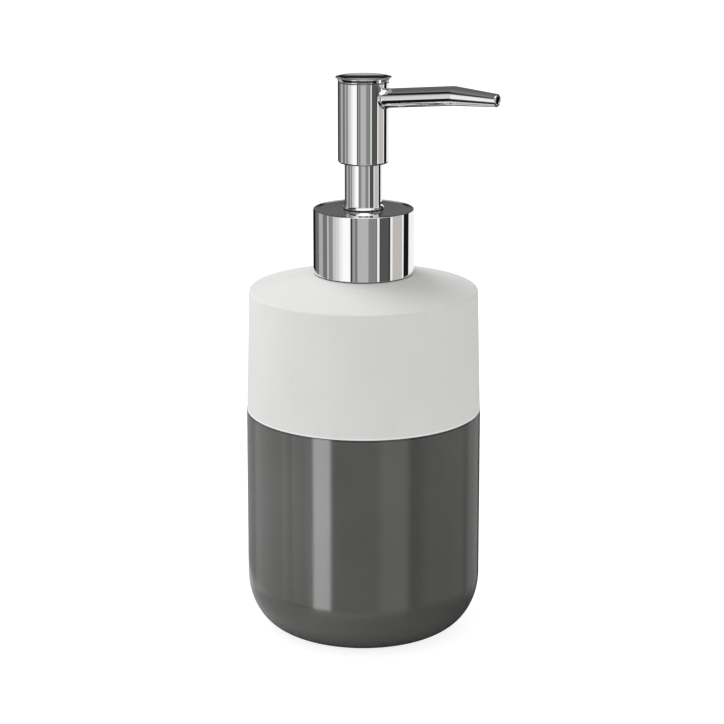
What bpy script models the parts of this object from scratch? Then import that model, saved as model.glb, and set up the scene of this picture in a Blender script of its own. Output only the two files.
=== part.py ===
"""Soap dispenser: a two-tone ceramic bottle with a chromed lotion pump.

Metres, +Z up. The origin is the middle of the flat base, on the axis that the bottle and the pump share.
The nozzle points along +X. Radii are worked out from the pump's rod outwards and heights from the bottle's
shoulder upwards, so each piece takes its size from the one that it fits.
"""

import math

import bmesh
import bpy
from mathutils import Matrix, Vector

# Clearances
FIT = 0.0003  # left between two pieces that touch
THREAD_PLAY = 0.0003  # radial play between the two threads
SLEEVE_PLAY = 0.00032  # radial play of what turns or slides round the sleeve
PRESS_REST = 0.0007  # left under the head when it is pressed right down
OVERRUN = 0.001  # how far a cutter runs past what it cuts

# Ceramic bottle
BODY_RADIUS = 0.0365  # at the edge of the grey dip
BODY_SPREAD = 0.0002  # how much wider it gets down to the rounded foot
BODY_TAPER = 0.00116  # how much narrower it gets up to the shoulder
SHOULDER_HEIGHT = 0.1083
SHOULDER_RISE = 0.00535  # from the shoulder's edge to the land under the collar
SHOULDER_EDGE = 0.0008
FOOT_ROUND_WIDTH = 0.0123
FOOT_ROUND_HEIGHT = 0.0166
DIP_HEIGHT = 0.0706
DIP_PROUD = 0.0001  # how far the glaze stands out from the bare wall above it
GLAZE_COAT = 0.0005
GLAZE_STOP_ANGLE = math.radians(11)  # where the glaze ends on the rounded foot, up from its underside
BODY_WALL = 0.0042
BODY_FLOOR = 0.0055
CROWN_WALL = 0.0040
CAVITY_TIGHTER = 0.0023  # how much smaller the cavity's foot arc is than the outer one
LAND_INSET = 0.00045  # the land stops this far inside the collar's edge

# Screw neck, a plastic insert held in the ceramic mouth
NECK_WALL = 0.0016
NECK_LEAD = 0.0027  # plain neck above and below the thread
INSERT_FLANGE = 0.0012
INSERT_LIP = 0.0019  # how far the flange reaches past the mouth's edge
INSERT_WALL = 0.0027
INSERT_DEPTH = 0.0050
THREAD_PITCH = 0.003175
THREAD_TURNS = 1.5
THREAD_DEPTH = 0.00105
THREAD_FOOT = 0.0016
THREAD_CREST = 0.0007
THREAD_ROOT = 0.0005  # how deep the ridge is sunk into the wall that carries it

# Collar
CAP_WALL = 0.0021  # of the plastic screw cap inside the chromed shell
CAP_DISC = 0.0012
COLLAR_WALL = 0.0008
COLLAR_EDGE = 0.0005

# Pump engine
ROD_BORE_RADIUS = 0.0015
ROD_WALL = 0.0018
ROD_STOP = 0.0012
ROD_STOP_REACH = 0.0016
ROD_INLET_RADIUS = 0.0006
PISTON_BORE_RADIUS = 0.0065
PISTON_LENGTH = 0.0060
PISTON_LIP = 0.0008
PISTON_LIP_HEIGHT = 0.0013
PISTON_SLIP = 0.0012  # how far the rod moves before it takes the piston with it
SEAT_DISC = 0.0014
SEAT_EDGE = 0.0004
SEAT_PLUG = 0.0040
SEAT_PEG = 0.0040
SPRING_RADIUS = 0.0039  # to the middle of the wire
SPRING_WIRE = 0.0009
SPRING_TURNS = 8
SPRING_SPARE = 0.0031  # gaps left in the spring when the head is pressed right down
SPRING_PLAY = 0.0005
HOUSING_WALL = 0.0011
HOUSING_FLANGE = 0.0012
HOUSING_PLAY = 0.0017  # round the housing in the neck
VENT_RADIUS = 0.0005
GASKET_THICKNESS = 0.0010
LOCK_DISC = 0.0012
LOCK_PLUG = 0.0060
LOCK_BOSS = 0.0058
CAGE_DISC = 0.0014
CAGE_STUB = 0.0015
CAGE_HOLES = 4
CAGE_HOLE_RADIUS = 0.0006
CAGE_HOLE_REACH = 0.0018
BALL_RADIUS = 0.0024
BALL_PLAY = 0.0005
BALL_LIFT = 0.0008
BALL_SEAT_RADIUS = 0.0015
BALL_SEAT_DEPTH = 0.0015
BALL_SEAT_SLOPE = math.radians(45)
TUBE_RADIUS = 0.0025
TUBE_WALL = 0.0007
TUBE_SOCKET_DEPTH = 0.0080
TUBE_SOCKET_WALL = 0.0012
TUBE_FLOOR_GAP = 0.0030
TUBE_CUT_SLOPE = math.radians(30)

# Sleeve and head
SOCKET_WALL = 0.0012
SLEEVE_WALL = 0.00068
SLEEVE_FOOT = 0.0004
SLEEVE_FOOT_REACH = 0.00057
SLEEVE_COVER = 0.0035  # how far the sleeve reaches into the head at rest
STROKE = 0.0128
SKIRT_WALL = 0.0008
BARREL_WALL = 0.0006
BARREL_EDGE = 0.0005
BARREL_CROWN = 0.00207  # barrel above the nozzle
NOZZLE_FLOOR = 0.0006  # core left under the nozzle
ROD_SEAT = 0.0005  # core between the rod's socket and the sleeve's recess
CAP_LIP = 0.00075  # how far the head's cap stands out from the barrel
CAP_RIM = 0.0007
CAP_RIM_EDGE = 0.0003
CAP_RIM_WIDTH = 0.0010
CAP_DISH = 0.0005
CAP_PLUG = 0.0013

# Nozzle
NOZZLE_RADIUS = 0.00291
NOZZLE_TIP_RADIUS = 0.00191
NOZZLE_RISE = math.radians(6.17)  # slope of the first length
NOZZLE_FALL = math.radians(0.92)  # slope of the second one
NOZZLE_RUN = 0.03144  # from the pump's axis to the bend
NOZZLE_END = 0.01486  # from the bend to the tip
NOZZLE_BEND = 0.0080
NOZZLE_BORE_RADIUS = 0.00115
SPIGOT_WALL = 0.0008
SPIGOT_INSET = 0.0033  # how deep the spigot sits in the core

# Surface resolution
BODY_STEPS = 48
PUMP_STEPS = 32
SMALL_STEPS = 24
ARC_STEPS = 3
FOOT_STEPS = 7
DISH_STEPS = 4
THREAD_STEPS = 36
SPRING_STEPS = 10
BALL_RINGS = 10
NOZZLE_SIDES = 24
WIRE_SIDES = 6
MERGE_DISTANCE = 0.00001
SHARP_ANGLE = math.radians(32)

# Colour, roughness and metallic value of each finish
FINISHES = {
    "bare_ceramic": ((0.78, 0.78, 0.77), 0.62, 0),
    "grey_glaze": ((0.072, 0.075, 0.070), 0.09, 0),
    "chrome": ((0.86, 0.86, 0.87), 0.05, 1),
    "white_plastic": ((0.80, 0.80, 0.78), 0.42, 0),
    "milky_plastic": ((0.66, 0.69, 0.70), 0.34, 0),
    "seal_rubber": ((0.42, 0.43, 0.43), 0.70, 0),
    "spring_steel": ((0.60, 0.60, 0.61), 0.24, 1),
    "ball_steel": ((0.74, 0.74, 0.75), 0.10, 1),
}

# Each thing that moves, and what carries it. All of them slide along or turn about the Z axis.
CARRIERS = {
    "bottle": None,
    "seal": "bottle",
    "pump": "seal",
    "collar": "pump",
    "stem": "pump",
    "ball": "pump",
    "piston": "stem",
    "head": "stem",
}

# Radii, from the rod outwards
rod_radius = ROD_BORE_RADIUS + ROD_WALL
socket_radius = rod_radius + FIT
boss_radius = socket_radius + SOCKET_WALL
sleeve_bore = boss_radius + FIT
sleeve_radius = sleeve_bore + SLEEVE_WALL
running_radius = sleeve_radius + SLEEVE_PLAY
skirt_radius = running_radius + SKIRT_WALL
barrel_bore = skirt_radius + FIT
barrel_radius = barrel_bore + BARREL_WALL
head_cap_radius = barrel_radius + CAP_LIP
housing_radius = PISTON_BORE_RADIUS + HOUSING_WALL
neck_bore = housing_radius + HOUSING_PLAY
neck_radius = neck_bore + NECK_WALL
thread_radius = neck_radius + THREAD_DEPTH
cap_bore = thread_radius + THREAD_PLAY
cap_radius = cap_bore + CAP_WALL
collar_bore = cap_radius + FIT
collar_radius = collar_bore + COLLAR_WALL
insert_radius = neck_bore + INSERT_WALL
mouth_radius = insert_radius + FIT
land_radius = collar_radius - LAND_INSET
shoulder_radius = BODY_RADIUS - DIP_PROUD - BODY_TAPER
piston_radius = PISTON_BORE_RADIUS - FIT
spring_outer = SPRING_RADIUS + SPRING_WIRE / 2
spring_peg_radius = SPRING_RADIUS - SPRING_WIRE / 2 - SPRING_PLAY
tube_socket_radius = TUBE_RADIUS + FIT
ball_chamber_radius = BALL_RADIUS + BALL_PLAY
spigot_radius = NOZZLE_BORE_RADIUS + SPIGOT_WALL

# Heights, from the shoulder up to the collar's top
land_height = SHOULDER_HEIGHT + SHOULDER_RISE
collar_foot = land_height + FIT
insert_top = collar_foot + INSERT_FLANGE
thread_height = insert_top + NECK_LEAD + THREAD_FOOT / 2
neck_rim = thread_height + THREAD_TURNS * THREAD_PITCH + THREAD_FOOT / 2 + NECK_LEAD
gasket_foot = neck_rim + FIT
housing_foot = gasket_foot + GASKET_THICKNESS + FIT
housing_top = housing_foot + HOUSING_FLANGE
lock_foot = housing_top + FIT
lock_top = lock_foot + LOCK_DISC
cap_disc_foot = lock_top + FIT
cap_disc_top = cap_disc_foot + CAP_DISC
collar_top = cap_disc_top + FIT + COLLAR_WALL

# Heights of the sleeve and of the head at rest
sleeve_foot_top = collar_top + FIT + SLEEVE_FOOT
barrel_foot = sleeve_foot_top + PRESS_REST + STROKE
sleeve_top = barrel_foot + SLEEVE_COVER
core_ceiling = sleeve_top + STROKE + FIT
rod_socket_top = core_ceiling - ROD_SEAT
rod_top = rod_socket_top - FIT
boss_top = lock_top + LOCK_BOSS
core_boss_foot = boss_top + STROKE + PRESS_REST
nozzle_height = core_ceiling + NOZZLE_FLOOR + NOZZLE_RADIUS  # of its middle, where it leaves the barrel
barrel_top = nozzle_height + NOZZLE_RADIUS + BARREL_CROWN
head_cap_foot = barrel_top + FIT
head_cap_top = head_cap_foot + CAP_RIM
core_top = head_cap_foot - CAP_PLUG - FIT

# Heights inside the pump, from the lock bush down
lock_plug_foot = lock_foot - LOCK_PLUG
rod_stop_top = lock_plug_foot - FIT
rod_stop_foot = rod_stop_top - ROD_STOP
piston_top = rod_stop_foot - FIT - PISTON_SLIP
piston_foot = piston_top - PISTON_LENGTH
seat_top = piston_foot - FIT
seat_foot = seat_top - SEAT_DISC
spring_top = seat_foot - FIT
spring_foot = spring_top - STROKE - (SPRING_TURNS + 1) * SPRING_WIRE - SPRING_SPARE
cage_top = spring_foot - FIT
cage_foot = cage_top - CAGE_DISC
chamber_top = cage_foot - FIT
ball_height = cage_foot - FIT - BALL_LIFT - BALL_RADIUS
seat_apex = ball_height - (BALL_RADIUS + FIT) / math.sin(BALL_SEAT_SLOPE)
seat_hole_top = seat_apex + BALL_SEAT_RADIUS / math.tan(BALL_SEAT_SLOPE)
tube_socket_top = seat_hole_top - BALL_SEAT_DEPTH
housing_end = tube_socket_top - TUBE_SOCKET_DEPTH
tube_foot = BODY_FLOOR + TUBE_FLOOR_GAP

# The nozzle's line, in the XZ plane, passes the barrel's wall at nozzle_height
nozzle_root = Vector((0, 0, nozzle_height - barrel_radius * math.tan(NOZZLE_RISE)))
nozzle_way = Vector((math.cos(NOZZLE_RISE), 0, math.sin(NOZZLE_RISE)))
nozzle_fall_way = Vector((math.cos(NOZZLE_FALL), 0, -math.sin(NOZZLE_FALL)))
spigot_start = (skirt_radius - SPIGOT_INSET) / math.cos(NOZZLE_RISE)


def clear_scene():
    for obj in list(bpy.data.objects):
        bpy.data.objects.remove(obj)


def new_collection(name):
    collection = bpy.data.collections.new(name)
    bpy.context.scene.collection.children.link(collection)
    return collection


def make_finish(name):
    colour, roughness, metallic = FINISHES[name]
    finish = bpy.data.materials.new(name)
    finish.use_nodes = True
    shader = finish.node_tree.nodes["Principled BSDF"]
    shader.inputs["Base Color"].default_value = (*colour, 1)
    shader.inputs["Roughness"].default_value = roughness
    shader.inputs["Metallic"].default_value = metallic
    finish.diffuse_color = (*colour, 1)
    return finish


def make_carrier(name):
    """An empty on the shared axis, which everything that moves together hangs on."""
    carrier = bpy.data.objects.new(name + "_carrier", None)
    parts.objects.link(carrier)
    carrier.parent = carriers.get(CARRIERS[name])
    return carrier


def rounded(corners):
    """The outline through corners of (radius, height), each with the radius of its own arc if it has one.
    An arc takes at most half of the shorter side beside it."""
    outline = []
    for i, (radius, height, *arc) in enumerate(corners):
        corner = Vector((radius, height))
        if not arc:
            outline.append(corner)
            continue
        back = Vector(corners[i - 1][:2]) - corner
        ahead = Vector(corners[(i + 1) % len(corners)][:2]) - corner
        half = back.angle(ahead) / 2
        reach = min(arc[0] / math.tan(half), back.length / 2, ahead.length / 2)
        way_in = (back.normalized() + ahead.normalized()).normalized()
        middle = corner + way_in * reach / math.cos(half)
        first = corner + back.normalized() * reach - middle
        last = corner + ahead.normalized() * reach - middle
        for step in range(ARC_STEPS + 1):
            outline.append(middle + first.slerp(last, step / ARC_STEPS).normalized() * first.length)
    return outline


def link_part(name, mesh):
    obj = bpy.data.objects.new(name, mesh)
    parts.objects.link(obj)
    return obj


def turned(name, outline, steps):
    """A solid turned round the Z axis. Its outline runs down the outer side. An outline that starts and ends
    on the axis makes a full solid, and any other is closed and makes a ring."""
    points = [(radius, 0, height) for radius, height in outline]
    edges = [(i, i + 1) for i in range(len(points) - 1)]
    if points[0][0] > 0:
        edges.append((len(points) - 1, 0))
    mesh = bpy.data.meshes.new(name)
    mesh.from_pydata(points, edges, [])
    obj = link_part(name, mesh)
    screw = obj.modifiers.new("Turn", "SCREW")
    screw.steps = screw.render_steps = steps
    screw.use_merge_vertices = True
    screw.merge_threshold = MERGE_DISTANCE
    return obj


def mesh_object(name, work):
    mesh = bpy.data.meshes.new(name)
    work.to_mesh(mesh)
    work.free()
    return link_part(name, mesh)


def cylinder(name, radius, start, end, steps):
    """A closed cylinder from start to end."""
    start, end = Vector(start), Vector(end)
    turn = (end - start).to_track_quat("Z", "Y").to_matrix().to_4x4()
    work = bmesh.new()
    bmesh.ops.create_cone(
        work, cap_ends=True, segments=steps, radius1=radius, radius2=radius,
        depth=(end - start).length, matrix=Matrix.Translation((start + end) / 2) @ turn,
    )
    return mesh_object(name, work)


def bar_along(name, points, radii, sides):
    """A round bar along points, with its own radius at each, as a closed mesh."""
    curve = bpy.data.curves.new(name, "CURVE")
    curve.dimensions = "3D"
    curve.bevel_depth = max(radii)
    curve.bevel_resolution = (sides - 4) // 2
    curve.use_fill_caps = True
    spline = curve.splines.new("POLY")
    spline.points.add(len(points) - 1)
    for point, place, radius in zip(spline.points, points, radii):
        point.co = (*place, 1)
        point.radius = radius / max(radii)
    bar = link_part(name + "_curve", curve)
    bpy.context.view_layer.update()
    mesh = bpy.data.meshes.new_from_object(bar.evaluated_get(bpy.context.evaluated_depsgraph_get()))
    bpy.data.objects.remove(bar)
    work = bmesh.new()
    work.from_mesh(mesh)
    bmesh.ops.remove_doubles(work, verts=work.verts, dist=MERGE_DISTANCE)
    bpy.data.meshes.remove(mesh)
    return mesh_object(name, work)


def thread_ridge(name, foot_radius, crest_radius, start_height):
    """A right-hand screw ridge. Its section is sunk into the wall behind foot_radius."""
    flank = (THREAD_FOOT - THREAD_CREST) / 2 / abs(crest_radius - foot_radius)
    root_radius = foot_radius - math.copysign(THREAD_ROOT, crest_radius - foot_radius)
    half_root = THREAD_FOOT / 2 + flank * THREAD_ROOT
    half_crest = THREAD_CREST / 2
    section = [
        (root_radius, start_height - half_root),
        (crest_radius, start_height - half_crest),
        (crest_radius, start_height + half_crest),
        (root_radius, start_height + half_root),
    ]
    work = bmesh.new()
    corners = [work.verts.new((radius, 0, height)) for radius, height in section]
    sides = [work.edges.new((corners[i - 1], corners[i])) for i in range(len(corners))]
    steps = round(THREAD_STEPS * THREAD_TURNS)
    bmesh.ops.spin(
        work, geom=corners + sides, axis=(0, 0, 1), cent=(0, 0, 0), steps=steps,
        angle=math.tau * THREAD_TURNS, dvec=(0, 0, THREAD_PITCH * THREAD_TURNS / steps),
    )
    bmesh.ops.holes_fill(work, edges=work.edges, sides=len(section))
    bmesh.ops.recalc_face_normals(work, faces=work.faces)
    return mesh_object(name, work)


def combine(obj, operation, *others):
    """Joins the others to obj (UNION) or cuts them away (DIFFERENCE), and keeps them among the cutters."""
    for other in others:
        parts.objects.unlink(other)
        cutters.objects.link(other)
        other.hide_render = True
        other.display_type = "WIRE"
        boolean = obj.modifiers.new(other.name, "BOOLEAN")
        boolean.operation = operation
        boolean.object = other
    return obj


def settle(obj, finish, carrier):
    """Applies obj's modifiers, smooths its round faces and hangs it on its carrier."""
    bpy.context.view_layer.update()
    mesh = bpy.data.meshes.new_from_object(obj.evaluated_get(bpy.context.evaluated_depsgraph_get()))
    obj.modifiers.clear()
    obj.data = mesh
    mesh.name = obj.name
    mesh.materials.clear()
    mesh.materials.append(finishes[finish])
    mesh.shade_smooth()
    mesh.set_sharp_from_angle(angle=SHARP_ANGLE)
    obj.parent = carriers[carrier]


def foot_curve(inset):
    """The bottle's rounded foot moved inwards by inset, from its wall down to where the glaze ends."""
    middle = BODY_RADIUS + BODY_SPREAD - FOOT_ROUND_WIDTH
    swing = math.pi / 2 - GLAZE_STOP_ANGLE
    angles = [math.pi / 2 - swing * step / FOOT_STEPS for step in range(FOOT_STEPS + 1)]
    return [
        (
            middle + (FOOT_ROUND_WIDTH - inset) * math.sin(angle),
            FOOT_ROUND_HEIGHT - (FOOT_ROUND_HEIGHT - inset) * math.cos(angle),
        )
        for angle in angles
    ]


def make_bottle_body():
    """The slip-cast bottle. It is set back under the glaze by the coat and its fit, and stands on a bare
    flat disc."""
    recess = GLAZE_COAT + FIT
    crown_slope = SHOULDER_RISE / (shoulder_radius - land_radius)
    crown = land_height - CROWN_WALL + crown_slope * (land_radius - mouth_radius)
    cavity_radius = BODY_RADIUS + BODY_SPREAD - BODY_WALL
    cavity_shoulder = shoulder_radius - BODY_WALL
    step_height = DIP_HEIGHT + FIT
    standing_radius = foot_curve(0)[-1][0] - recess
    inside = rounded([
        (0, BODY_FLOOR),
        (cavity_radius, BODY_FLOOR, FOOT_ROUND_WIDTH - CAVITY_TIGHTER),
        (cavity_shoulder, crown - crown_slope * (cavity_shoulder - mouth_radius)),
        (mouth_radius, crown),
    ])
    outside = rounded([
        (mouth_radius, land_height),
        (land_radius, land_height),
        (shoulder_radius, SHOULDER_HEIGHT, SHOULDER_EDGE),
        (BODY_RADIUS - DIP_PROUD, step_height),
        (BODY_RADIUS - recess, step_height),
    ])
    foot = [*foot_curve(recess)[:-1], (standing_radius, recess), (standing_radius - recess, 0), (0, 0)]
    return turned("bottle_body", [*inside, *outside, *foot], BODY_STEPS)


def make_glaze_dip():
    """The coat of glaze, which laps the wall and the rounded foot."""
    outer = [(BODY_RADIUS, DIP_HEIGHT), *foot_curve(0)]
    inner = [(BODY_RADIUS - GLAZE_COAT, DIP_HEIGHT), *foot_curve(GLAZE_COAT)]
    return turned("glaze_dip", [*outer, *reversed(inner)], BODY_STEPS)


def make_neck_insert():
    """The screw neck, with a flange on the bottle's land and a plug down its mouth."""
    flange_radius = mouth_radius + INSERT_LIP
    plug_foot = collar_foot - INSERT_DEPTH
    neck = turned("neck_insert", [
        (neck_bore, neck_rim),
        (neck_radius, neck_rim),
        (neck_radius, insert_top),
        (flange_radius, insert_top),
        (flange_radius, collar_foot),
        (insert_radius, collar_foot),
        (insert_radius, plug_foot),
        (neck_bore, plug_foot),
    ], THREAD_STEPS)
    return combine(neck, "UNION", thread_ridge("neck_thread", neck_radius, thread_radius, thread_height))


def make_neck_gasket():
    inner_radius = housing_radius + FIT
    return turned("neck_gasket", [
        (inner_radius, gasket_foot + GASKET_THICKNESS),
        (neck_radius, gasket_foot + GASKET_THICKNESS),
        (neck_radius, gasket_foot),
        (inner_radius, gasket_foot),
    ], PUMP_STEPS)


def make_screw_cap():
    """The threaded cap inside the collar. Its ridge lies half a pitch under the neck's."""
    skirt_foot = insert_top + FIT
    cap = turned("screw_cap", [
        (running_radius, cap_disc_top),
        (cap_radius, cap_disc_top),
        (cap_radius, skirt_foot),
        (cap_bore, skirt_foot),
        (cap_bore, cap_disc_foot),
        (running_radius, cap_disc_foot),
    ], THREAD_STEPS)
    crest_radius = neck_radius + THREAD_PLAY
    ridge_height = thread_height - THREAD_PITCH / 2
    return combine(cap, "UNION", thread_ridge("cap_thread", cap_bore, crest_radius, ridge_height))


def make_collar_shell():
    plate_foot = collar_top - COLLAR_WALL
    return turned("collar_shell", rounded([
        (running_radius, collar_top),
        (collar_radius, collar_top, COLLAR_EDGE),
        (collar_radius, collar_foot),
        (collar_bore, collar_foot),
        (collar_bore, plate_foot),
        (running_radius, plate_foot),
    ]), PUMP_STEPS)


def make_guide_sleeve():
    """The stem that shows under the head, pressed over the lock bush, with a thin foot on the collar."""
    foot_radius = sleeve_radius + SLEEVE_FOOT_REACH
    foot_underside = sleeve_foot_top - SLEEVE_FOOT
    return turned("guide_sleeve", [
        (sleeve_bore, sleeve_top),
        (sleeve_radius, sleeve_top),
        (sleeve_radius, sleeve_foot_top),
        (foot_radius, sleeve_foot_top),
        (foot_radius, foot_underside),
        (sleeve_radius, foot_underside),
        (sleeve_radius, cap_disc_foot),
        (sleeve_bore, cap_disc_foot),
    ], PUMP_STEPS)


def make_lock_bush():
    """Closes the pump's cylinder: a disc on its flange, a plug down its bore and a boss that guides the
    rod."""
    return turned("lock_bush", [
        (socket_radius, boss_top),
        (boss_radius, boss_top),
        (boss_radius, lock_top),
        (neck_radius, lock_top),
        (neck_radius, lock_foot),
        (piston_radius, lock_foot),
        (piston_radius, lock_plug_foot),
        (socket_radius, lock_plug_foot),
    ], PUMP_STEPS)


def make_pump_housing():
    """The cylinder, with the ball's chamber and seat and the tube's socket below it and a vent behind the
    piston."""
    boss = tube_socket_radius + TUBE_SOCKET_WALL
    waist = chamber_top - HOUSING_WALL
    chamber_foot = seat_apex + ball_chamber_radius / math.tan(BALL_SEAT_SLOPE)
    housing = turned("pump_housing", [
        (PISTON_BORE_RADIUS, housing_top),
        (neck_radius, housing_top),
        (neck_radius, housing_foot),
        (housing_radius, housing_foot),
        (housing_radius, waist),
        (boss, waist - (housing_radius - boss)),
        (boss, housing_end),
        (tube_socket_radius, housing_end),
        (tube_socket_radius, tube_socket_top),
        (BALL_SEAT_RADIUS, tube_socket_top),
        (BALL_SEAT_RADIUS, seat_hole_top),
        (ball_chamber_radius, chamber_foot),
        (ball_chamber_radius, chamber_top),
        (PISTON_BORE_RADIUS, chamber_top),
    ], PUMP_STEPS)
    vent_height = piston_foot + PISTON_LENGTH / 2
    vent = cylinder(
        "vent_cut", VENT_RADIUS, (0, PISTON_BORE_RADIUS - OVERRUN, vent_height),
        (0, housing_radius + OVERRUN, vent_height), SMALL_STEPS // 2,
    )
    return combine(housing, "DIFFERENCE", vent)


def make_piston_rod():
    """The hollow rod, with the shoulder that stops it and cross holes over the seat's plug."""
    stop_radius = rod_radius + ROD_STOP_REACH
    rod = turned("piston_rod", [
        (ROD_BORE_RADIUS, rod_top),
        (rod_radius, rod_top),
        (rod_radius, rod_stop_top),
        (stop_radius, rod_stop_top),
        (stop_radius, rod_stop_foot),
        (rod_radius, rod_stop_foot),
        (rod_radius, piston_foot),
        (ROD_BORE_RADIUS, piston_foot),
    ], SMALL_STEPS)
    inlet_height = seat_top + SEAT_PLUG + FIT + 2 * ROD_INLET_RADIUS
    reach = rod_radius + OVERRUN
    inlets = cylinder(
        "inlet_cut", ROD_INLET_RADIUS, (0, -reach, inlet_height), (0, reach, inlet_height), SMALL_STEPS // 2
    )
    return combine(rod, "DIFFERENCE", inlets)


def make_piston():
    waist_radius = piston_radius - PISTON_LIP
    return turned("piston", [
        (socket_radius, piston_top),
        (piston_radius, piston_top),
        (waist_radius, piston_top - PISTON_LIP_HEIGHT),
        (waist_radius, piston_foot + PISTON_LIP_HEIGHT),
        (piston_radius, piston_foot),
        (socket_radius, piston_foot),
    ], SMALL_STEPS)


def make_piston_seat():
    """Plugs the rod's lower end. Its disc is the piston's valve seat, and its peg centres the spring."""
    plug_radius = ROD_BORE_RADIUS - FIT
    plug_top = seat_top + SEAT_PLUG
    seat_radius = spring_outer + SEAT_EDGE
    peg_foot = seat_foot - SEAT_PEG
    return turned("piston_seat", [
        (0, plug_top),
        (plug_radius, plug_top),
        (plug_radius, seat_top),
        (seat_radius, seat_top),
        (seat_radius, seat_foot),
        (spring_peg_radius, seat_foot),
        (spring_peg_radius, peg_foot),
        (0, peg_foot),
    ], SMALL_STEPS)


def make_return_spring():
    """An even helix, and the least gap between its turns is printed."""
    count = SPRING_TURNS * SPRING_STEPS
    low = spring_foot + SPRING_WIRE / 2
    climb = spring_top - spring_foot - SPRING_WIRE
    points = []
    for i in range(count + 1):
        angle = math.tau * i / SPRING_STEPS
        points.append((
            SPRING_RADIUS * math.cos(angle), SPRING_RADIUS * math.sin(angle), low + climb * i / count
        ))
    print(f"return_spring: least gap between turns {climb / SPRING_TURNS - SPRING_WIRE:.5f} m")
    return bar_along("return_spring", points, [SPRING_WIRE / 2] * len(points), WIRE_SIDES)


def make_ball_cage():
    """Holds the ball down and the spring up, and lets the soap through its holes."""
    stub_top = cage_top + CAGE_STUB
    cage = turned("ball_cage", [
        (0, stub_top),
        (spring_peg_radius, stub_top),
        (spring_peg_radius, cage_top),
        (piston_radius, cage_top),
        (piston_radius, cage_foot),
        (0, cage_foot),
    ], SMALL_STEPS)
    holes = []
    for i in range(CAGE_HOLES):
        angle = math.tau * i / CAGE_HOLES
        x, y = CAGE_HOLE_REACH * math.cos(angle), CAGE_HOLE_REACH * math.sin(angle)
        foot, top = (x, y, cage_foot - OVERRUN), (x, y, stub_top + OVERRUN)
        holes.append(cylinder(f"cage_hole_cut_{i + 1}", CAGE_HOLE_RADIUS, foot, top, SMALL_STEPS // 2))
    return combine(cage, "DIFFERENCE", *holes)


def make_check_ball():
    work = bmesh.new()
    bmesh.ops.create_uvsphere(
        work, u_segments=SMALL_STEPS, v_segments=BALL_RINGS, radius=BALL_RADIUS,
        matrix=Matrix.Translation((0, 0, ball_height)),
    )
    return mesh_object("check_ball", work)


def make_dip_tube():
    """The suction tube. A slanting cut keeps its end open if it touches the floor."""
    bore = TUBE_RADIUS - TUBE_WALL
    top = tube_socket_top - FIT
    tube = turned("dip_tube", [(bore, top), (TUBE_RADIUS, top), (TUBE_RADIUS, tube_foot), (bore, tube_foot)],
                  SMALL_STEPS)
    side = 2 * (TUBE_RADIUS / math.cos(TUBE_CUT_SLOPE) + OVERRUN)
    centre = Vector((0, 0, tube_foot + TUBE_RADIUS * math.tan(TUBE_CUT_SLOPE)))
    work = bmesh.new()
    bmesh.ops.create_cube(
        work, size=side,
        matrix=Matrix.Translation(centre) @ Matrix.Rotation(-TUBE_CUT_SLOPE, 4, "Y")
        @ Matrix.Translation((0, 0, -side / 2)),
    )
    return combine(tube, "DIFFERENCE", mesh_object("tube_end_cut", work))


def make_head_barrel():
    """The drum of the head, rolled in round the sleeve at its foot, with the nozzle's hole in its side."""
    barrel = turned("head_barrel", rounded([
        (barrel_bore, barrel_top),
        (barrel_radius, barrel_top),
        (barrel_radius, barrel_foot, BARREL_EDGE),
        (running_radius, barrel_foot),
        (running_radius, barrel_foot + BARREL_WALL),
        (barrel_bore, barrel_foot + BARREL_WALL),
    ]), PUMP_STEPS)
    hole = cylinder(
        "nozzle_hole_cut", NOZZLE_RADIUS + FIT, nozzle_root + nozzle_way * spigot_start,
        nozzle_root + nozzle_way * (barrel_radius + OVERRUN + NOZZLE_RADIUS), NOZZLE_SIDES,
    )
    return combine(barrel, "DIFFERENCE", hole)


def make_head_core():
    """The head's plastic core. The sleeve runs in its recess, the rod sits in its boss, and a channel leads
    from the rod to the nozzle's spigot."""
    skirt_foot = barrel_foot + BARREL_WALL + FIT
    core = turned("head_core", [
        (0, core_top),
        (skirt_radius, core_top),
        (skirt_radius, skirt_foot),
        (running_radius, skirt_foot),
        (running_radius, core_ceiling),
        (boss_radius, core_ceiling),
        (boss_radius, core_boss_foot),
        (socket_radius, core_boss_foot),
        (socket_radius, rod_socket_top),
        (0, rod_socket_top),
    ], PUMP_STEPS)
    spigot_end = nozzle_root + nozzle_way * spigot_start
    outside = nozzle_root + nozzle_way * (skirt_radius + OVERRUN)
    return combine(
        core, "DIFFERENCE",
        cylinder("riser_cut", ROD_BORE_RADIUS, (0, 0, rod_socket_top - OVERRUN), nozzle_root, SMALL_STEPS),
        cylinder("channel_cut", NOZZLE_BORE_RADIUS, nozzle_root, spigot_end, SMALL_STEPS),
        cylinder("spigot_cut", spigot_radius + FIT, spigot_end - nozzle_way * FIT, outside, SMALL_STEPS),
    )


def make_head_cap():
    """The thin cap that closes the barrel, with a shallow dish in its top."""
    dish_radius = head_cap_radius - CAP_RIM_WIDTH
    dish = []
    for step in range(DISH_STEPS):
        share = step / DISH_STEPS
        dish.append((dish_radius * share, head_cap_top - CAP_DISH * (1 - share**2)))
    plug_foot = head_cap_foot - CAP_PLUG
    return turned("head_cap", rounded([
        *dish,
        (dish_radius, head_cap_top),
        (head_cap_radius, head_cap_top, CAP_RIM_EDGE),
        (head_cap_radius, head_cap_foot, CAP_RIM_EDGE),
        (skirt_radius, head_cap_foot),
        (skirt_radius, plug_foot),
        (0, plug_foot),
    ]), PUMP_STEPS)


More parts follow.
